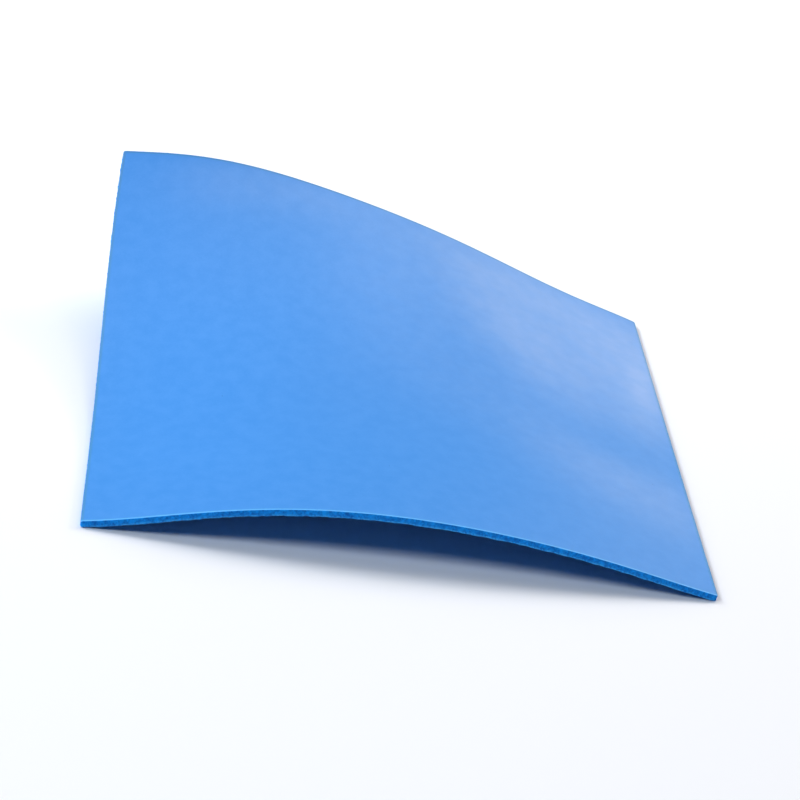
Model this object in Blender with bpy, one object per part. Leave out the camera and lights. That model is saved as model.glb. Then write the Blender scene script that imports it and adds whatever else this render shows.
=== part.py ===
# Soft thermal pad sheet, knife-cut square, lying on a level surface with its
# left side bowed up and its far left corner curled clear of the surface.
# Metres, +Z up. Seen from the front, X runs to the right along the near edge
# and Y runs away from the viewer.

import math

import bmesh
import bpy
import numpy as np

# Flat size of the cut sheet
pad_width = 0.100
pad_depth = 0.100
pad_thickness = 0.001

# How each edge bows: the sheet's slope in degrees at equal steps from its
# left end to its right end, counted from the slope of the left end
near_bow = (0.0, 4.8, -1.8, -9.1, -14.5, -19.2, -17.7)
far_bow = (0.0, -9.4, -17.5, -20.2, -23.9, -22.9, -23.1)

# The far left corner: its height over the surface, the share of the depth
# that stays down before the curl starts, and how sharply it then rises
corner_lift = 0.0222
curl_start = 0.20
curl_power = 2.0

# How strongly the lines across draw in below the curled corner. The most that
# any line loses is 0.45 of this share of the width
waist = 0.029

# Facets of the faceted solid, along the width and along the depth
columns = 40
rows = 24

# Look of the silicone
pad_colour = (0.085, 0.335, 0.83, 1.0)
pad_roughness = 0.55


def clear_scene():
    for item in list(bpy.data.objects):
        bpy.data.objects.remove(item, do_unlink=True)


def curl_at(depth_share):
    # 0 where the sheet still lies down, 1 at the far edge
    past = max(0.0, depth_share - curl_start) / (1.0 - curl_start)
    return past ** curl_power


def bow_slopes(bow, shares):
    # A smooth curve through the stated slopes, in radians
    steps = np.linspace(0.0, 1.0, len(bow))
    curve = np.polyfit(steps, bow, len(bow) - 1)
    return np.radians(np.polyval(curve, shares))


def width_line(depth_share):
    # The sheet's middle layer across its width, at one depth: x and z of its
    # points, with the right end at zero and the left end at its height
    shares = np.linspace(0.0, 1.0, columns + 1)
    fine = np.linspace(0.0, 1.0, columns * 8 + 1)
    curl = curl_at(depth_share)
    near = bow_slopes(near_bow, fine)
    far = bow_slopes(far_bow, fine)
    slope = near + (far - near) * curl
    middle = 0.5 * (slope[1:] + slope[:-1])
    length = pad_width * (1.0 - waist * depth_share * (1.0 - curl))
    step = length / (len(fine) - 1)
    x = np.concatenate(([0.0], np.cumsum(np.cos(middle)) * step))
    z = np.concatenate(([0.0], np.cumsum(np.sin(middle)) * step))
    x = x - x[-1]
    z = z - z[-1]
    # Turn the line about its right end until its left end is at its height
    chord = math.hypot(x[0], z[0])
    turn = math.asin(corner_lift * curl / chord) - math.atan2(z[0], -x[0])
    turned_x = x * math.cos(turn) + z * math.sin(turn)
    turned_z = z * math.cos(turn) - x * math.sin(turn)
    line_x = np.interp(shares, fine, turned_x)
    line_z = np.interp(shares, fine, turned_z)
    return line_x, line_z


def middle_layer():
    # Rows of points from the near edge to the far edge. Each step of the
    # depth keeps its length, so the sheet bends without stretching
    points = np.zeros((rows + 1, columns + 1, 3))
    for row in range(rows + 1):
        line_x, line_z = width_line(row / rows)
        points[row, :, 0] = line_x
        points[row, :, 2] = line_z
    step = pad_depth / rows
    for row in range(1, rows + 1):
        across = points[row, :, 0] - points[row - 1, :, 0]
        rise = points[row, :, 2] - points[row - 1, :, 2]
        forward = np.sqrt(step ** 2 - across ** 2 - rise ** 2)
        points[row, :, 1] = points[row - 1, :, 1] + forward
    return points


def layer_normals(points):
    along_width = np.gradient(points, axis=1)
    along_depth = np.gradient(points, axis=0)
    # The first rows lie square to the depth, so their cut face is flat
    normals = np.cross(along_width, along_depth)
    lengths = np.linalg.norm(normals, axis=2, keepdims=True)
    return normals / lengths


def add_layer(mesh, points):
    return [[mesh.verts.new(point) for point in line] for line in points.tolist()]


def pad_mesh():
    middle = middle_layer()
    offset = layer_normals(middle) * (0.5 * pad_thickness)
    top = middle + offset
    under = middle - offset
    # Origin at the middle of the footprint, on the surface the pad lies on
    everything = np.concatenate((top.reshape(-1, 3), under.reshape(-1, 3)))
    low = everything.min(axis=0)
    high = everything.max(axis=0)
    origin = np.array((0.5 * (low[0] + high[0]), 0.5 * (low[1] + high[1]), low[2]))
    mesh = bmesh.new()
    upper = add_layer(mesh, top - origin)
    lower = add_layer(mesh, under - origin)
    for row in range(rows):
        for column in range(columns):
            here = (row, column)
            ring = (here, (row, column + 1), (row + 1, column + 1), (row + 1, column))
            mesh.faces.new([upper[r][c] for r, c in ring])
            mesh.faces.new([lower[r][c] for r, c in reversed(ring)])
    # The four cut edges close the sheet
    near_edge = [(0, c) for c in range(columns + 1)]
    right_edge = [(r, columns) for r in range(rows + 1)]
    far_edge = [(rows, c) for c in range(columns, -1, -1)]
    left_edge = [(r, 0) for r in range(rows, -1, -1)]
    for edge in (near_edge, right_edge, far_edge, left_edge):
        for (r0, c0), (r1, c1) in zip(edge[:-1], edge[1:]):
            mesh.faces.new((lower[r0][c0], lower[r1][c1], upper[r1][c1], upper[r0][c0]))
    bmesh.ops.triangulate(mesh, faces=mesh.faces[:], quad_method="SHORT_EDGE")
    bmesh.ops.recalc_face_normals(mesh, faces=mesh.faces[:])
    return mesh


def pad_material():
    material = bpy.data.materials.new("silicone")
    material.use_nodes = True
    shader = material.node_tree.nodes["Principled BSDF"]
    shader.inputs["Base Color"].default_value = pad_colour
    shader.inputs["Roughness"].default_value = pad_roughness
    shader.inputs["Metallic"].default_value = 0.0
    material.diffuse_color = pad_colour
    return material


def build_pad():
    mesh = pad_mesh()
    data = bpy.data.meshes.new("thermal_pad")
    mesh.to_mesh(data)
    mesh.free()
    data.materials.append(pad_material())
    data.shade_smooth()
    data.set_sharp_from_angle(angle=math.radians(40.0))
    pad = bpy.data.objects.new("thermal_pad", data)
    bpy.context.scene.collection.objects.link(pad)
    return pad


clear_scene()
build_pad()
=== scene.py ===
import math

import bpy
import numpy as np
from mathutils import Matrix, Vector


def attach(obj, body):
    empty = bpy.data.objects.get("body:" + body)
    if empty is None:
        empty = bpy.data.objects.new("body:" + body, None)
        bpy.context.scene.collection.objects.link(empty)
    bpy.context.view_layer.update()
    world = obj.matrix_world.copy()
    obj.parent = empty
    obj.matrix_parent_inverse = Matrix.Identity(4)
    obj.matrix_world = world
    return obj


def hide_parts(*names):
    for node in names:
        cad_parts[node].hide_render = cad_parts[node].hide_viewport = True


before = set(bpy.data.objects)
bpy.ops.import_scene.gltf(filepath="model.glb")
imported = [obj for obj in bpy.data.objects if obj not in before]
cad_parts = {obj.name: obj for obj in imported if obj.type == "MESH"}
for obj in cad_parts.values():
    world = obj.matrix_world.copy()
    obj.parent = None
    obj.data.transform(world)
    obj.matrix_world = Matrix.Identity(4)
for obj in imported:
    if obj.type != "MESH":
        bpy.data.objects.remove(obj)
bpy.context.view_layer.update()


# small helpers for building node trees

def addSocket(tree, name, kind, value=None, way="INPUT"):
    socket = tree.interface.new_socket(name=name, in_out=way, socket_type="NodeSocket" + kind)
    if value is not None:
        socket.default_value = value
    return socket


def addNode(tree, kind, values=None, **settings):
    node = tree.nodes.new(kind)
    for name, value in settings.items():
        setattr(node, name, value)
    for name, value in (values or {}).items():
        plug(tree, node.inputs[name], value)
    return node


def plug(tree, socket, value):
    if isinstance(value, bpy.types.NodeSocket):
        tree.links.new(value, socket)
    else:
        socket.default_value = value


def calc(tree, operation, *values, clamp=False):
    node = tree.nodes.new("ShaderNodeMath")
    node.operation = operation
    node.use_clamp = clamp
    for socket, value in zip(node.inputs, values):
        plug(tree, socket, value)
    return node.outputs[0]


def vectorCalc(tree, operation, *values, scale=None, out="Vector"):
    node = tree.nodes.new("ShaderNodeVectorMath")
    node.operation = operation
    for socket, value in zip(node.inputs, values):
        plug(tree, socket, value)
    if scale is not None:
        plug(tree, node.inputs["Scale"], scale)
    return node.outputs[out]


def joinXyz(tree, x, y, z):
    return addNode(tree, "ShaderNodeCombineXYZ", {"X": x, "Y": y, "Z": z}).outputs[0]


def splitXyz(tree, vector):
    return addNode(tree, "ShaderNodeSeparateXYZ", {"Vector": vector}).outputs


def smoothRange(tree, value, low, high, toLow=0.0, toHigh=1.0):
    values = {"Value": value, "From Min": low, "From Max": high, "To Min": toLow, "To Max": toHigh}
    node = addNode(tree, "ShaderNodeMapRange", values, interpolation_type="SMOOTHSTEP")
    return node.outputs["Result"]


# the flat blank: a square knife-cut sheet with softened rims

blankValues = {
    "width": 0.100,
    "depth": 0.100,
    "thickness": 0.001,
    "cells": 140,            # face cells along one side
    "edgeSplits": 3,         # each border cell is split into this many along the cut
    "bandInsets": (0.0008, 0.0006, 0.00045, 0.00032, 0.00023),   # close face rows along the rim
    "rimRound": 0.00016,     # softened rim of the cut
    "roundSteps": 3,
    "wallSteps": 5,
    "cornerRound": 0.0004,   # plan radius of the four corners
}


def rimProfile(values):
    half = values["thickness"] / 2
    radius = values["rimRound"]
    steps = values["roundSteps"]
    upper = [(inset, half) for inset in values["bandInsets"]]      # inset from the cut, height
    for step in range(steps + 1):
        angle = math.pi / 2 * step / steps
        upper.append((radius * (1 - math.sin(angle)), half - radius * (1 - math.cos(angle))))
    wall = half - radius
    middle = [(0.0, wall - 2 * wall * step / values["wallSteps"]) for step in range(1, values["wallSteps"])]
    return upper + middle + [(inset, -height) for inset, height in reversed(upper)]


def softenCorner(x, y, half, radius):
    reach = half - radius
    dx, dy = abs(x) - reach, abs(y) - reach
    if dx <= 0 or dy <= 0:
        return x, y
    scale = max(dx, dy) / math.hypot(dx, dy)
    return math.copysign(reach + dx * scale, x), math.copysign(reach + dy * scale, y)


def makeBlank(values):
    cells, splits = values["cells"], values["edgeSplits"]
    half = values["width"] / 2
    count = cells * splits                       # border points along one side
    points, faces = [], []

    def addPoint(u, v, inset, height):           # u and v run from -1 to 1
        reach = half - inset
        x, y = softenCorner(u * reach, v * reach, reach, values["cornerRound"])
        points.append((x, y * values["depth"] / values["width"], height))
        return len(points) - 1

    def borderPlace(step):
        side, along = divmod(step, count)
        t = 2 * along / count - 1
        return ((t, -1), (1, t), (-t, 1), (-1, -t))[side]

    profile = rimProfile(values)
    rings = [[addPoint(*borderPlace(step), inset, height) for step in range(4 * count)]
             for inset, height in profile]
    for upper, lower in zip(rings[:-1], rings[1:]):
        for step in range(4 * count):
            after = (step + 1) % (4 * count)
            faces.append((upper[step], lower[step], lower[after], upper[after]))

    for ring, height, up in ((rings[0], profile[0][1], True), (rings[-1], profile[-1][1], False)):
        inset = profile[0][0]
        grid = {}
        for row in range(cells + 1):
            for column in range(cells + 1):
                if row == 0:
                    grid[column, row] = ring[column * splits]
                elif column == cells:
                    grid[column, row] = ring[count + row * splits]
                elif row == cells:
                    grid[column, row] = ring[2 * count + (cells - column) * splits]
                elif column == 0:
                    grid[column, row] = ring[3 * count + (cells - row) * splits]
                else:
                    place = (2 * column / cells - 1, 2 * row / cells - 1)
                    grid[column, row] = addPoint(*place, inset, height)
        for row in range(cells):
            for column in range(cells):
                loop = []
                if row == 0:
                    loop += [ring[column * splits + k] for k in range(splits)]
                else:
                    loop.append(grid[column, row])
                if column == cells - 1:
                    loop += [ring[count + row * splits + k] for k in range(splits)]
                else:
                    loop.append(grid[column + 1, row])
                if row == cells - 1:
                    loop += [ring[2 * count + (cells - 1 - column) * splits + k] for k in range(splits)]
                else:
                    loop.append(grid[column + 1, row + 1])
                if column == 0:
                    first = 3 * count + (cells - 1 - row) * splits
                    loop += [ring[first + k] for k in range(splits)]
                else:
                    loop.append(grid[column, row + 1])
                if len(loop) == 4:
                    faces.append(tuple(loop if up else reversed(loop)))
                    continue
                # a border cell is a fan from a corner that isn't on the cut
                apexColumn = column if column > 0 else column + 1
                apexRow = row if row > 0 else row + 1
                at = loop.index(grid[apexColumn, apexRow])
                loop = loop[at:] + loop[:at]
                for second, third in zip(loop[1:-1], loop[2:]):
                    corner = (loop[0], second, third)
                    faces.append(corner if up else corner[::-1])

    mesh = bpy.data.meshes.new("padBlank")
    mesh.from_pydata(points, [], faces)
    mesh.validate()
    blank = bpy.data.objects.new("padBlank", mesh)
    bpy.context.scene.collection.objects.link(blank)
    return blank


# the bow: the flat blank bent over a middle layer whose slopes are stated

bowSlopes = {                    # degrees, at equal steps from left to right
    "Near Bow": (0.0, 4.8, -1.8, -9.1, -14.5, -19.2, -17.7),
    "Far Bow": (0.0, -9.4, -17.5, -20.2, -23.9, -22.9, -23.1),
}

bowValues = {
    "Corner Lift": 0.0222,       # far left corner
    "Curl Start": 0.20,          # share of the depth that lies down at the left
    "Curl Power": 2.0,
    "Waist": 0.029,              # lines across are drawn in by up to 0.45 of this share
    "Ripple Height": 0.00006,    # faint waves of the faces, fading out at the rims
    "Ripple Size": 0.018,
    "Ripple Fade": 0.006,
    "Patch Rise": 0.00005,
    "Lip Height": 0.00004,       # the knife leaves the upper rim a little proud
    "Lip Width": 0.00045,
    "Lip Start": 0.00018,
    "Cut Depth": 0.0001,         # the grain of the cut fades out this far in
    "Cut Relief": 0.00012,
    "Cut Grain": 0.0006,
    "Grain Level": 0.62,         # above the noise's middle, so the grain is mostly torn inwards
    "Cut Face": 0.00008,         # faces nearer to the cut than this wear its material
    "Foot Burr": 0.00011,        # ragged foot that the knife leaves along the lower rim
    "Foot Top": -0.0001,
    "Foot Bottom": -0.00034,
    "Foot In": 0.0002,
    "Burr Length": 0.0013,
    "Burr Stretch": 0.2,
    "Tear Low": 0.38,
    "Tear High": 0.66,
    "Tear Least": 0.15,
    "Floor Gap": 0.00001,
    "Seed": 4.0,
}

# soft ellipses of the upper face that carry gloss and stand a hair proud; the one with a
# negative strength takes gloss away. The numbers are a least-squares fit to the tones of
# the face in the photo: middle across and along, angle, half length, half width, strength
patchValues = [
    (0.0200, 0.0269, -63.0, 0.0225, 0.0079, 0.50),
    (0.0307, 0.0243, -2.0, 0.0297, 0.0239, 0.55),
    (0.0367, -0.0189, -26.0, 0.0274, 0.0108, 0.46),
    (0.0370, -0.0083, -20.0, 0.0121, 0.0081, -0.25),
    (-0.0013, 0.0293, 82.0, 0.0276, 0.0130, 0.22),
    (0.0085, 0.0012, -45.0, 0.0181, 0.0092, 0.20),
    (-0.0111, -0.0104, 74.0, 0.0216, 0.0141, 0.29),
    (0.0476, 0.0187, 83.0, 0.0160, 0.0052, 0.48),
    (-0.0282, 0.0457, 4.0, 0.0228, 0.0065, 0.38),
    (0.0239, 0.0439, -7.0, 0.0199, 0.0079, 0.40),
    (0.0431, 0.0360, 84.0, 0.0140, 0.0091, 0.30),
]


def makePatchGroup():
    tree = bpy.data.node_groups.new("softPatch", "GeometryNodeTree")
    addSocket(tree, "Place", "Vector")
    for name, value in (("Across", 0.0), ("Along", 0.0), ("Angle", 0.0), ("Half Length", 0.03),
                        ("Half Width", 0.01), ("Strength", 0.0)):
        addSocket(tree, name, "Float", value)
    addSocket(tree, "Share", "Float", way="OUTPUT")
    ask = tree.nodes.new("NodeGroupInput").outputs
    x, y, _ = splitXyz(tree, ask["Place"])
    dx, dy = calc(tree, "SUBTRACT", x, ask["Across"]), calc(tree, "SUBTRACT", y, ask["Along"])
    angle = calc(tree, "RADIANS", ask["Angle"])
    cosine, sine = calc(tree, "COSINE", angle), calc(tree, "SINE", angle)
    run = calc(tree, "ADD", calc(tree, "MULTIPLY", dx, cosine), calc(tree, "MULTIPLY", dy, sine))
    side = calc(tree, "SUBTRACT", calc(tree, "MULTIPLY", dy, cosine), calc(tree, "MULTIPLY", dx, sine))
    run, side = calc(tree, "DIVIDE", run, ask["Half Length"]), calc(tree, "DIVIDE", side, ask["Half Width"])
    away = calc(tree, "MULTIPLY_ADD", run, run, calc(tree, "MULTIPLY", side, side))
    fall = calc(tree, "EXPONENT", calc(tree, "MULTIPLY", away, -1.0))
    out = tree.nodes.new("NodeGroupOutput")
    tree.links.new(calc(tree, "MULTIPLY", ask["Strength"], fall), out.inputs[0])
    return tree


def termNames(edge):
    return [f"{edge} {letter}" for letter in "ABCDEFG"]


def bowCurve(tree, share, terms):            # a polynomial of the share, highest power first
    total = terms[0]
    for term in terms[1:]:
        total = calc(tree, "MULTIPLY_ADD", total, share, term)
    return calc(tree, "RADIANS", total)


def middleLayer(tree, ask, columns=200, rows=200):
    width, depth = ask["Sheet Width"], ask["Sheet Depth"]
    sizes = {"Size X": width, "Size Y": depth, "Vertices X": columns + 1, "Vertices Y": rows + 1}
    grid = addNode(tree, "GeometryNodeMeshGrid", sizes)
    x, y, _ = splitXyz(tree, addNode(tree, "GeometryNodeInputPosition").outputs[0])
    across = calc(tree, "ADD", calc(tree, "DIVIDE", x, width), 0.5)
    along = calc(tree, "ADD", calc(tree, "DIVIDE", y, depth), 0.5)
    column = calc(tree, "ROUND", calc(tree, "MULTIPLY", across, columns))
    row = calc(tree, "ROUND", calc(tree, "MULTIPLY", along, rows))
    notFirstColumn = calc(tree, "GREATER_THAN", column, 0.5)
    notFirstRow = calc(tree, "GREATER_THAN", row, 0.5)

    def gather(value, group):
        node = addNode(tree, "GeometryNodeAccumulateField", data_type="FLOAT", domain="POINT")
        plug(tree, node.inputs[0], value)
        plug(tree, node.inputs[1], group)
        return node.outputs["Leading"], node.outputs["Total"]

    # how far the curl has gone at this depth, 0 where the sheet lies down
    past = calc(tree, "SUBTRACT", along, ask["Curl Start"])
    past = calc(tree, "DIVIDE", past, calc(tree, "SUBTRACT", 1.0, ask["Curl Start"]), clamp=True)
    curl = calc(tree, "POWER", past, ask["Curl Power"])

    # slope of each step across, blended from the near edge's to the far edge's
    middle = calc(tree, "SUBTRACT", across, 0.5 / columns)
    near, far = (bowCurve(tree, middle, [ask[name] for name in termNames(edge)]) for edge in bowSlopes)
    slope = calc(tree, "MULTIPLY_ADD", calc(tree, "SUBTRACT", far, near), curl, near)
    drawIn = calc(tree, "MULTIPLY", along, calc(tree, "SUBTRACT", 1.0, curl))
    drawIn = calc(tree, "MULTIPLY", drawIn, ask["Waist"])
    length = calc(tree, "MULTIPLY", width, calc(tree, "SUBTRACT", 1.0, drawIn))
    step = calc(tree, "MULTIPLY", calc(tree, "DIVIDE", length, columns), notFirstColumn)
    runX, spanX = gather(calc(tree, "MULTIPLY", step, calc(tree, "COSINE", slope)), row)
    runZ, spanZ = gather(calc(tree, "MULTIPLY", step, calc(tree, "SINE", slope)), row)
    runX = calc(tree, "SUBTRACT", runX, spanX)
    runZ = calc(tree, "SUBTRACT", runZ, spanZ)

    # each line turns about its right end until its left end is at its height
    squares = calc(tree, "MULTIPLY_ADD", spanX, spanX, calc(tree, "MULTIPLY", spanZ, spanZ))
    chord = calc(tree, "SQRT", squares)
    lift = calc(tree, "MULTIPLY", ask["Corner Lift"], curl)
    wanted = calc(tree, "ARCSINE", calc(tree, "DIVIDE", lift, chord))
    turn = calc(tree, "SUBTRACT", wanted, calc(tree, "ARCTAN2", calc(tree, "MULTIPLY", spanZ, -1.0), spanX))
    cosine, sine = calc(tree, "COSINE", turn), calc(tree, "SINE", turn)
    placeX = calc(tree, "ADD", calc(tree, "MULTIPLY", runX, cosine),
                  calc(tree, "MULTIPLY", runZ, sine))
    placeZ = calc(tree, "SUBTRACT", calc(tree, "MULTIPLY", runZ, cosine),
                  calc(tree, "MULTIPLY", runX, sine))

    # each step of the depth keeps its length
    index = addNode(tree, "GeometryNodeInputIndex").outputs[0]
    before = calc(tree, "SUBTRACT", index, 1.0)
    flat = joinXyz(tree, placeX, 0.0, placeZ)
    last = addNode(tree, "GeometryNodeFieldAtIndex", data_type="FLOAT_VECTOR", domain="POINT")
    plug(tree, last.inputs["Value"], flat)
    plug(tree, last.inputs["Index"], before)
    move = vectorCalc(tree, "SUBTRACT", flat, last.outputs[0])
    moved = vectorCalc(tree, "DOT_PRODUCT", move, move, out="Value")
    reach = calc(tree, "POWER", calc(tree, "DIVIDE", depth, rows), 2.0)
    forward = calc(tree, "SQRT", calc(tree, "MAXIMUM", calc(tree, "SUBTRACT", reach, moved), 0.0))
    placeY, _ = gather(calc(tree, "MULTIPLY", forward, notFirstRow), column)
    bent = addNode(tree, "GeometryNodeSetPosition",
                   {"Geometry": grid.outputs["Mesh"], "Position": joinXyz(tree, placeX, placeY, placeZ)})
    kept = addNode(tree, "GeometryNodeStoreNamedAttribute",
                   {"Geometry": bent.outputs[0], "Name": "layerNormal",
                    "Value": addNode(tree, "GeometryNodeInputNormal").outputs[0]},
                   data_type="FLOAT_VECTOR", domain="POINT")
    return kept.outputs[0], grid.outputs["UV Map"]


def makeBowTree(names):
    tree = bpy.data.node_groups.new("bowedSheet", "GeometryNodeTree")
    tree.is_modifier = True
    addSocket(tree, "Geometry", "Geometry")
    for name in names:
        addSocket(tree, name, "Material" if name in ("Skin", "Cut") else "Float")
    addSocket(tree, "Geometry", "Geometry", way="OUTPUT")
    ask = tree.nodes.new("NodeGroupInput").outputs
    half = calc(tree, "MULTIPLY", ask["Sheet Thickness"], 0.5)
    layer, layerUv = middleLayer(tree, ask)

    # where the blank lies flat, kept for the materials
    place = addNode(tree, "GeometryNodeInputPosition").outputs[0]
    flat = addNode(tree, "GeometryNodeStoreNamedAttribute",
                   {"Geometry": ask["Geometry"], "Name": "flat", "Value": place},
                   data_type="FLOAT_VECTOR", domain="POINT").outputs[0]
    x, y, z = splitXyz(tree, place)
    inX = calc(tree, "SUBTRACT", calc(tree, "MULTIPLY", ask["Sheet Width"], 0.5), calc(tree, "ABSOLUTE", x))
    inY = calc(tree, "SUBTRACT", calc(tree, "MULTIPLY", ask["Sheet Depth"], 0.5), calc(tree, "ABSOLUTE", y))
    inset = calc(tree, "MINIMUM", inX, inY)
    flat = addNode(tree, "GeometryNodeStoreNamedAttribute",
                   {"Geometry": flat, "Name": "inset", "Value": inset},
                   data_type="FLOAT", domain="POINT").outputs[0]

    # bend it over the middle layer, sampled a hair inside its border
    hair = 0.00001
    shares = []
    for run, side in ((x, "Sheet Width"), (y, "Sheet Depth")):
        share = calc(tree, "ADD", calc(tree, "DIVIDE", run, ask[side]), 0.5)
        shares.append(calc(tree, "MINIMUM", calc(tree, "MAXIMUM", share, hair), 1.0 - hair))
    uv = joinXyz(tree, *shares, 0.0)

    def sampleLayer(value):
        node = addNode(tree, "GeometryNodeSampleUVSurface", data_type="FLOAT_VECTOR")
        for name, wire in (("Mesh", layer), ("Value", value), ("UV Map", layerUv), ("Sample UV", uv)):
            plug(tree, node.inputs[name], wire)
        return node.outputs["Value"]

    layerNormal = addNode(tree, "GeometryNodeInputNamedAttribute", {"Name": "layerNormal"},
                          data_type="FLOAT_VECTOR").outputs[0]
    middle = sampleLayer(addNode(tree, "GeometryNodeInputPosition").outputs[0])
    normal = vectorCalc(tree, "NORMALIZE", sampleLayer(layerNormal))
    wave = addNode(tree, "ShaderNodeTexNoise",
                   {"Vector": joinXyz(tree, x, y, ask["Seed"]),
                    "Scale": calc(tree, "DIVIDE", 1.0, ask["Ripple Size"]), "Detail": 1.0},
                   noise_dimensions="3D").outputs[0]
    ripple = calc(tree, "MULTIPLY", calc(tree, "SUBTRACT", wave, 0.5), ask["Ripple Height"])
    patchGroup = makePatchGroup()
    shine = None
    for across, along, angle, length, width, strength in patchValues:
        patch = addNode(tree, "GeometryNodeGroup", {}, node_tree=patchGroup)
        for name, value in (("Place", place), ("Across", across), ("Along", along), ("Angle", angle),
                            ("Half Length", length), ("Half Width", width), ("Strength", strength)):
            plug(tree, patch.inputs[name], value)
        shine = patch.outputs[0] if shine is None else calc(tree, "ADD", shine, patch.outputs[0])
    shine = calc(tree, "MULTIPLY", shine, calc(tree, "GREATER_THAN", z, 0.0))
    flat = addNode(tree, "GeometryNodeStoreNamedAttribute",
                   {"Geometry": flat, "Name": "shine", "Value": shine},
                   data_type="FLOAT", domain="POINT").outputs[0]
    ripple = calc(tree, "MULTIPLY_ADD", shine, ask["Patch Rise"], ripple)
    ripple = calc(tree, "MULTIPLY", ripple, smoothRange(tree, inset, 0.0, ask["Ripple Fade"]))
    lip = smoothRange(tree, inset, ask["Lip Width"], ask["Lip Start"])
    lip = calc(tree, "MULTIPLY", lip, ask["Lip Height"])
    lip = calc(tree, "MULTIPLY", lip, smoothRange(tree, z, 0.0, half))
    height = calc(tree, "ADD", calc(tree, "ADD", z, ripple), lip)
    bent = vectorCalc(tree, "ADD", middle, vectorCalc(tree, "SCALE", normal, scale=height))

    # lay it on the floor, centred on its footprint
    joined = addNode(tree, "GeometryNodeJoinGeometry")
    for side in (half, calc(tree, "MULTIPLY", half, -1.0)):
        shift = vectorCalc(tree, "SCALE", layerNormal, scale=side)
        face = addNode(tree, "GeometryNodeSetPosition", {"Geometry": layer, "Offset": shift})
        tree.links.new(face.outputs[0], joined.inputs[0])
    box = addNode(tree, "GeometryNodeBoundBox", {"Geometry": joined.outputs[0]})
    lowZ = splitXyz(tree, box.outputs["Min"])[2]
    centre = vectorCalc(tree, "ADD", box.outputs["Min"], box.outputs["Max"])
    centreX, centreY, _ = splitXyz(tree, vectorCalc(tree, "SCALE", centre, scale=0.5))
    laid = vectorCalc(tree, "SUBTRACT", bent, joinXyz(tree, centreX, centreY, lowZ))
    sheet = addNode(tree, "GeometryNodeSetPosition", {"Geometry": flat, "Position": laid}).outputs[0]

    # torn grain of the knife cut, only on the cut faces
    flatPlace = addNode(tree, "GeometryNodeInputNamedAttribute", {"Name": "flat"},
                        data_type="FLOAT_VECTOR").outputs[0]
    insetKept = addNode(tree, "GeometryNodeInputNamedAttribute", {"Name": "inset"},
                        data_type="FLOAT").outputs[0]
    onCut = smoothRange(tree, insetKept, ask["Cut Depth"], 0.0)
    grain = addNode(tree, "ShaderNodeTexNoise",
                    {"Vector": vectorCalc(tree, "ADD", flatPlace, joinXyz(tree, 0.0, 0.0, ask["Seed"])),
                     "Scale": calc(tree, "DIVIDE", 1.0, ask["Cut Grain"]), "Detail": 3.0, "Roughness": 0.6},
                    noise_dimensions="3D").outputs[0]
    grain = calc(tree, "SUBTRACT", grain, ask["Grain Level"])
    grain = calc(tree, "MULTIPLY", calc(tree, "MULTIPLY", grain, ask["Cut Relief"]), onCut)

    # ragged foot, torn along the lower rim
    apart = joinXyz(tree, 0.0, 0.0, calc(tree, "MULTIPLY", ask["Seed"], 3.0))
    flattened = joinXyz(tree, 1.0, 1.0, ask["Burr Stretch"])
    tear = addNode(tree, "ShaderNodeTexNoise",
                   {"Vector": vectorCalc(tree, "MULTIPLY_ADD", flatPlace, flattened, apart),
                    "Scale": calc(tree, "DIVIDE", 1.0, ask["Burr Length"]),
                    "Detail": 2.0, "Roughness": 0.7},
                   noise_dimensions="3D").outputs[0]
    tear = smoothRange(tree, tear, ask["Tear Low"], ask["Tear High"], ask["Tear Least"])
    low = smoothRange(tree, splitXyz(tree, flatPlace)[2], ask["Foot Top"], ask["Foot Bottom"])
    nearCut = smoothRange(tree, insetKept, ask["Foot In"], calc(tree, "MULTIPLY", ask["Foot In"], 0.5))
    onFoot = calc(tree, "MULTIPLY", low, nearCut)
    burr = calc(tree, "MULTIPLY", calc(tree, "MULTIPLY", tear, onFoot), ask["Foot Burr"])
    push = vectorCalc(tree, "SCALE", addNode(tree, "GeometryNodeInputNormal").outputs[0],
                      scale=calc(tree, "ADD", grain, burr))
    sheet = addNode(tree, "GeometryNodeSetPosition", {"Geometry": sheet, "Offset": push}).outputs[0]

    # nothing reaches below the floor
    footX, footY, footZ = splitXyz(tree, addNode(tree, "GeometryNodeInputPosition").outputs[0])
    kept = joinXyz(tree, footX, footY, calc(tree, "MAXIMUM", footZ, ask["Floor Gap"]))
    sheet = addNode(tree, "GeometryNodeSetPosition", {"Geometry": sheet, "Position": kept}).outputs[0]

    sheet = addNode(tree, "GeometryNodeRealizeInstances", {"Geometry": sheet}).outputs[0]
    sheet = addNode(tree, "GeometryNodeSetShadeSmooth", {"Geometry": sheet}).outputs[0]
    sheet = addNode(tree, "GeometryNodeSetMaterial",
                    {"Geometry": sheet, "Material": ask["Skin"]}).outputs[0]
    cutFaces = calc(tree, "LESS_THAN", insetKept, ask["Cut Face"])
    sheet = addNode(tree, "GeometryNodeSetMaterial",
                    {"Geometry": sheet, "Selection": cutFaces, "Material": ask["Cut"]}).outputs[0]
    out = tree.nodes.new("NodeGroupOutput")
    tree.links.new(sheet, out.inputs[0])
    return tree


def setInputs(modifier, values):
    for item in modifier.node_group.interface.items_tree:
        if item.item_type == "SOCKET" and item.in_out == "INPUT" and item.name in values:
            modifier[item.identifier] = values[item.name]


def bowTerms(edge, slopes):                  # the polynomial that runs through the slopes
    steps = np.linspace(0.0, 1.0, len(slopes))
    terms = np.polyfit(steps, slopes, len(slopes) - 1)
    return dict(zip(termNames(edge), map(float, terms)))


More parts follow.
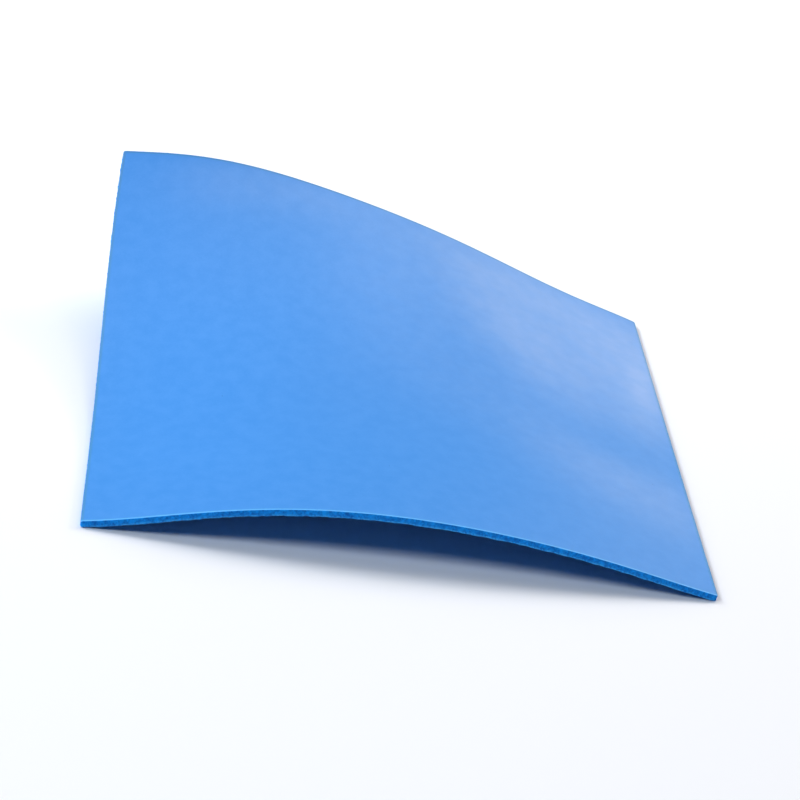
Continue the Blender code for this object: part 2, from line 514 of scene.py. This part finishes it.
def makePad(skin, cut):
    values = {"Sheet Width": blankValues["width"], "Sheet Depth": blankValues["depth"],
              "Sheet Thickness": blankValues["thickness"], **bowValues, "Skin": skin, "Cut": cut}
    for edge, slopes in bowSlopes.items():
        values.update(bowTerms(edge, slopes))
    blank = makeBlank(blankValues)
    modifier = blank.modifiers.new("bowedSheet", "NODES")
    modifier.node_group = makeBowTree(values)
    setInputs(modifier, values)
    bpy.context.view_layer.update()
    graph = bpy.context.evaluated_depsgraph_get()
    mesh = bpy.data.meshes.new_from_object(blank.evaluated_get(graph))
    mesh.name = "padSheet"
    pad = bpy.data.objects.new("padSheet", mesh)
    bpy.context.scene.collection.objects.link(pad)
    bpy.data.objects.remove(blank)
    return pad


# materials

grainValues = {                  # shared by both materials
    "span": (0.3, 0.7),          # the part of a noise that carries its variation
    "fineShare": 0.45,
    "pitLevel": 0.45,            # spots drawn below this have no pit
}

skinValues = {
    "deep": (0.061, 0.272, 0.717, 1.0),
    "pale": (0.077, 0.296, 0.750, 1.0),
    # the next colour is a painted highlight, a pale line along the near cut
    "rim": (0.135, 0.510, 1.0, 1.0),
    # the next colour is painted shade, a darker line along the rims of the cuts
    "rimShadeColour": (0.080, 0.280, 0.570, 1.0),
    # the next colour is painted shade in the pits
    "pit": (0.010, 0.120, 0.420, 1.0),
    "nearHighlightWidth": 0.00060,         # painted highlight: pale line along the near cut, broken a little
    "nearHighlightFull": 0.4,              # it is full within this share of its width
    "breakSize": 0.00055,
    "breakSpan": (0.35, 0.6),
    "breakLeast": 0.8,
    "rimShadeWidth": 0.00070,        # painted shade: darker line along the other three cuts
    "rimShadeFull": 0.2,
    "grain": {"Grain Size": 0.00035, "Broad Size": 0.0024, "Pit Spacing": 0.0065,
              "Pit Size": 0.00016},
    "roughness": (0.40, 0.46),
    "specular": 0.15,
    "relief": 0.000004,
    "coatRoughness": 0.34,
    "coatBlotch": (0.86, 1.12),
    "blotchSize": 0.004,
}

cutValues = {
    "deep": (0.001, 0.128, 0.55, 1.0),
    "pale": (0.008, 0.340, 1.0, 1.0),
    # the next colour is a painted highlight along the foot of the cut
    "foot": (0.060, 0.430, 1.0, 1.0),
    "footHighlightHeight": -0.00020,      # painted highlight: pale dots along the foot, full at one and a half times this
    "footHighlightFull": 1.5,
    "footHighlightSpan": (0.35, 0.6),
    "grain": {"Grain Size": 0.00028, "Broad Size": 0.0007, "Pit Spacing": 0.0011,
              "Pit Size": 0.00018},
    "roughness": (0.7, 0.9),
    "specular": 0.12,
    "relief": 0.00004,
}


def mixColour(tree, share, first, second):
    mix = addNode(tree, "ShaderNodeMix", data_type="RGBA")
    plug(tree, mix.inputs[0], share)
    plug(tree, mix.inputs[6], first)
    plug(tree, mix.inputs[7], second)
    return mix.outputs[2]


def makeGrainGroup():
    tree = bpy.data.node_groups.new("siliconeGrain", "ShaderNodeTree")
    addSocket(tree, "Place", "Vector")
    for name in skinValues["grain"]:
        addSocket(tree, name, "Float")
    for name in ("Tone", "Grain", "Pits"):
        addSocket(tree, name, "Float", way="OUTPUT")
    ask = tree.nodes.new("NodeGroupInput").outputs

    def noise(size, detail):
        values = {"Vector": ask["Place"], "Scale": calc(tree, "DIVIDE", 1.0, size), "Detail": detail}
        return addNode(tree, "ShaderNodeTexNoise", values).outputs[0]

    grain = noise(ask["Grain Size"], 3.0)
    broad = noise(ask["Broad Size"], 3.0)
    fine = grainValues["fineShare"]
    tone = calc(tree, "MULTIPLY_ADD", grain, fine, calc(tree, "MULTIPLY", broad, 1.0 - fine))
    spots = addNode(tree, "ShaderNodeTexVoronoi",
                    {"Vector": ask["Place"], "Scale": calc(tree, "DIVIDE", 1.0, ask["Pit Spacing"]),
                     "Randomness": 1.0}, voronoi_dimensions="3D")
    away = calc(tree, "MULTIPLY", spots.outputs["Distance"], ask["Pit Spacing"])
    drawn = splitXyz(tree, spots.outputs["Color"])[0]
    chosen = calc(tree, "GREATER_THAN", drawn, grainValues["pitLevel"])
    pits = calc(tree, "MULTIPLY", smoothRange(tree, away, ask["Pit Size"], 0.0), chosen)
    out = tree.nodes.new("NodeGroupOutput")
    for socket, value in zip(out.inputs, (smoothRange(tree, tone, *grainValues["span"]), grain, pits)):
        plug(tree, socket, value)
    return tree


def startMaterial(name, values):
    material = bpy.data.materials.new(name)
    material.use_nodes = True
    tree = material.node_tree
    shader = tree.nodes["Principled BSDF"]
    shader.inputs["Specular IOR Level"].default_value = values["specular"]
    flat = addNode(tree, "ShaderNodeAttribute", attribute_name="flat").outputs["Vector"]
    grain = addNode(tree, "ShaderNodeGroup", {}, node_tree=grainGroup)
    plug(tree, grain.inputs["Place"], flat)
    for key, value in values["grain"].items():
        plug(tree, grain.inputs[key], value)
    roughness = smoothRange(tree, grain.outputs["Grain"], *grainValues["span"], *values["roughness"])
    plug(tree, shader.inputs["Roughness"], roughness)
    height = calc(tree, "SUBTRACT", grain.outputs["Grain"], grain.outputs["Pits"])
    bump = addNode(tree, "ShaderNodeBump",
                   {"Height": height, "Strength": 1.0, "Distance": values["relief"]})
    plug(tree, shader.inputs["Normal"], bump.outputs[0])
    return material, tree, shader, flat, grain.outputs


def makeSkin():
    material, tree, shader, flat, grain = startMaterial("padSkin", skinValues)
    inset = addNode(tree, "ShaderNodeAttribute", attribute_name="inset").outputs["Fac"]
    colour = mixColour(tree, grain["Tone"], skinValues["deep"], skinValues["pale"])
    # painted shade: the pits are coloured darker
    colour = mixColour(tree, grain["Pits"], colour, skinValues["pit"])
    # painted shade: a darker line along the rims of the cuts, covered on the near cut by the painted
    # highlight
    width = skinValues["rimShadeWidth"]
    rimShadeMask = smoothRange(tree, inset, width, width * skinValues["rimShadeFull"])
    colour = mixColour(tree, rimShadeMask, colour, skinValues["rimShadeColour"])
    # painted highlight: a pale line along the near cut, broken a little
    nearInset = calc(tree, "ADD", splitXyz(tree, flat)[1], blankValues["depth"] / 2)
    width = skinValues["nearHighlightWidth"]
    rim = smoothRange(tree, nearInset, width, width * skinValues["nearHighlightFull"])
    broken = addNode(tree, "ShaderNodeTexNoise",
                     {"Vector": flat, "Scale": 1.0 / skinValues["breakSize"], "Detail": 1.0}).outputs[0]
    broken = smoothRange(tree, broken, *skinValues["breakSpan"], skinValues["breakLeast"], 1.0)
    rim = calc(tree, "MULTIPLY", rim, broken)
    colour = mixColour(tree, rim, colour, skinValues["rim"])
    plug(tree, shader.inputs["Base Color"], colour)
    # the smoother patches carry a thin gloss, broken up a little
    shine = addNode(tree, "ShaderNodeAttribute", attribute_name="shine").outputs["Fac"]
    blotch = addNode(tree, "ShaderNodeTexNoise",
                     {"Vector": flat, "Scale": 1.0 / skinValues["blotchSize"], "Detail": 2.0}).outputs[0]
    blotch = smoothRange(tree, blotch, *grainValues["span"], *skinValues["coatBlotch"])
    plug(tree, shader.inputs["Coat Weight"], calc(tree, "MULTIPLY", shine, blotch, clamp=True))
    shader.inputs["Coat Roughness"].default_value = skinValues["coatRoughness"]
    return material


def makeCut():
    material, tree, shader, flat, grain = startMaterial("padCut", cutValues)
    colour = mixColour(tree, grain["Tone"], cutValues["deep"], cutValues["pale"])
    # painted shade: the pits take the deep tone
    colour = mixColour(tree, grain["Pits"], colour, cutValues["deep"])
    # painted highlight: pale dots along the foot of the cut
    height, low = splitXyz(tree, flat)[2], cutValues["footHighlightHeight"]
    foot = smoothRange(tree, height, low, low * cutValues["footHighlightFull"])
    foot = calc(tree, "MULTIPLY", foot, smoothRange(tree, grain["Grain"], *cutValues["footHighlightSpan"]))
    colour = mixColour(tree, foot, colour, cutValues["foot"])
    plug(tree, shader.inputs["Base Color"], colour)
    return material


grainGroup = makeGrainGroup()
skin, cut = makeSkin(), makeCut()
print("materials made:", skin.name, cut.name)
pad = makePad(skin, cut)
print("pad made:", len(pad.data.vertices), "points")
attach(pad, "root")
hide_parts("thermal_pad")


# floor, light and camera

studioValues = {
    "floorRadius": 0.90,
    "floorSides": 96,
    "floorColour": (0.89, 0.87, 0.90, 1.0),
    "floorRoughness": 0.9,
    "floorSpecular": 0.1,
    "backdropColour": (1.0, 1.0, 1.0, 1.0),
    "lightDistance": 1.2,
    "lightTarget": (0.0, 0.0, 0.01),
    "tints": {"fill": (0.76, 0.89, 1.0), "key": (1.0, 0.955, 0.88)},
    # the watts were fitted to the photo's tones first, then changed in trials
    "lights": {              # degrees clockwise from behind, degrees up, width, watts
        "frontLeft": (240, 45, 0.5, 7.3, "fill"),
        "leftHigh": (300, 45, 0.5, 5.2, "fill"),
        "backLeft": (300, 28, 0.5, 3.1, "key"),
        "lowLeft": (270, 12, 0.5, 1.4, "fill"),
        "overhead": (0, 65, 0.5, 2.9, "key"),
        "rightHigh": (60, 65, 0.5, 1.6, "key"),
        "backHigh": (30, 45, 0.5, 2.3, "key"),
        "backRight": (60, 28, 0.5, 5.1, "key"),
        "backLow": (30, 14, 0.5, 1.25, "key"),
    },
    # a narrow soft fill for the curled corner
    "cornerFill": {"target": (-0.034, 0.056, 0.018), "turn": 245, "rise": 45, "cone": 8.0,
                   "width": 0.1, "power": 12.0, "tint": "fill"},
}


def makeFloor():
    radius, sides = studioValues["floorRadius"], studioValues["floorSides"]
    turns = [2 * math.pi * side / sides for side in range(sides)]
    mesh = bpy.data.meshes.new("studioFloor")
    rim = [(radius * math.cos(turn), radius * math.sin(turn), 0) for turn in turns]
    mesh.from_pydata(rim, [], [tuple(range(sides))])
    floor = bpy.data.objects.new("studioFloor", mesh)
    bpy.context.scene.collection.objects.link(floor)
    material = bpy.data.materials.new("paleFloor")
    material.use_nodes = True
    shader = material.node_tree.nodes["Principled BSDF"]
    shader.inputs["Base Color"].default_value = studioValues["floorColour"]
    shader.inputs["Roughness"].default_value = studioValues["floorRoughness"]
    shader.inputs["Specular IOR Level"].default_value = studioValues["floorSpecular"]
    mesh.materials.append(material)


def placeLamp(light, target, turn, rise, power, tint):
    turn, rise = math.radians(turn), math.radians(rise)
    away = Vector((math.sin(turn) * math.cos(rise), math.cos(turn) * math.cos(rise), math.sin(rise)))
    light.energy = power
    light.color = studioValues["tints"][tint]
    lamp = bpy.data.objects.new(light.name, light)
    lamp.location = Vector(target) + away * studioValues["lightDistance"]
    lamp.rotation_euler = (-away).to_track_quat("-Z", "Y").to_euler()
    bpy.context.scene.collection.objects.link(lamp)


def makeLight(name, turn, rise, width, power, tint):
    light = bpy.data.lights.new(name, "AREA")
    light.shape = "DISK"
    light.size = width
    placeLamp(light, studioValues["lightTarget"], turn, rise, power, tint)


def makeCornerFill(values):
    light = bpy.data.lights.new("cornerFill", "SPOT")
    light.spot_size = math.radians(values["cone"])
    light.spot_blend = 1.0
    light.shadow_soft_size = values["width"] / 2
    placeLamp(light, values["target"], values["turn"], values["rise"], values["power"], values["tint"])


photoView = {
    "target": (0.002142, 0.0, 0.00355),
    "distance": 0.51812,
    "turn": 8.281,           # degrees to the right of straight ahead
    "dip": 25.562,           # degrees below level
    "roll": 10.667,
    "lens": 139.984,
    "sensor": 36.0,
    "clip": (0.01, 20.0),
}


def makeCamera():
    turn, dip = math.radians(photoView["turn"]), math.radians(photoView["dip"])
    ahead = Vector((math.sin(turn) * math.cos(dip), math.cos(turn) * math.cos(dip), -math.sin(dip)))
    right = ahead.cross(Vector((0, 0, 1))).normalized()
    up = right.cross(ahead)
    roll = math.radians(photoView["roll"])
    right, up = right * math.cos(roll) + up * math.sin(roll), up * math.cos(roll) - right * math.sin(roll)
    data = bpy.data.cameras.new("photoCamera")
    data.lens = photoView["lens"]
    data.sensor_width = photoView["sensor"]
    data.clip_start, data.clip_end = photoView["clip"]
    camera = bpy.data.objects.new("photoCamera", data)
    camera.matrix_world = Matrix((right, up, -ahead)).transposed().to_4x4()
    camera.location = Vector(photoView["target"]) - ahead * photoView["distance"]
    bpy.context.scene.collection.objects.link(camera)
    bpy.context.scene.camera = camera


def makeWorld():
    # a plain pale backdrop that is seen and gives no light
    world = bpy.data.worlds.new("studio")
    world.use_nodes = True
    back = world.node_tree.nodes["Background"]
    back.inputs["Color"].default_value = studioValues["backdropColour"]
    seen = addNode(world.node_tree, "ShaderNodeLightPath").outputs["Is Camera Ray"]
    plug(world.node_tree, back.inputs["Strength"], seen)
    bpy.context.scene.world = world


makeFloor()
makeWorld()
for name, values in studioValues["lights"].items():
    makeLight(name, *values)
makeCornerFill(studioValues["cornerFill"])
makeCamera()
bpy.context.scene.view_settings.view_transform = "Standard"
print("studio set:", len(studioValues["lights"]) + 1, "lamps")
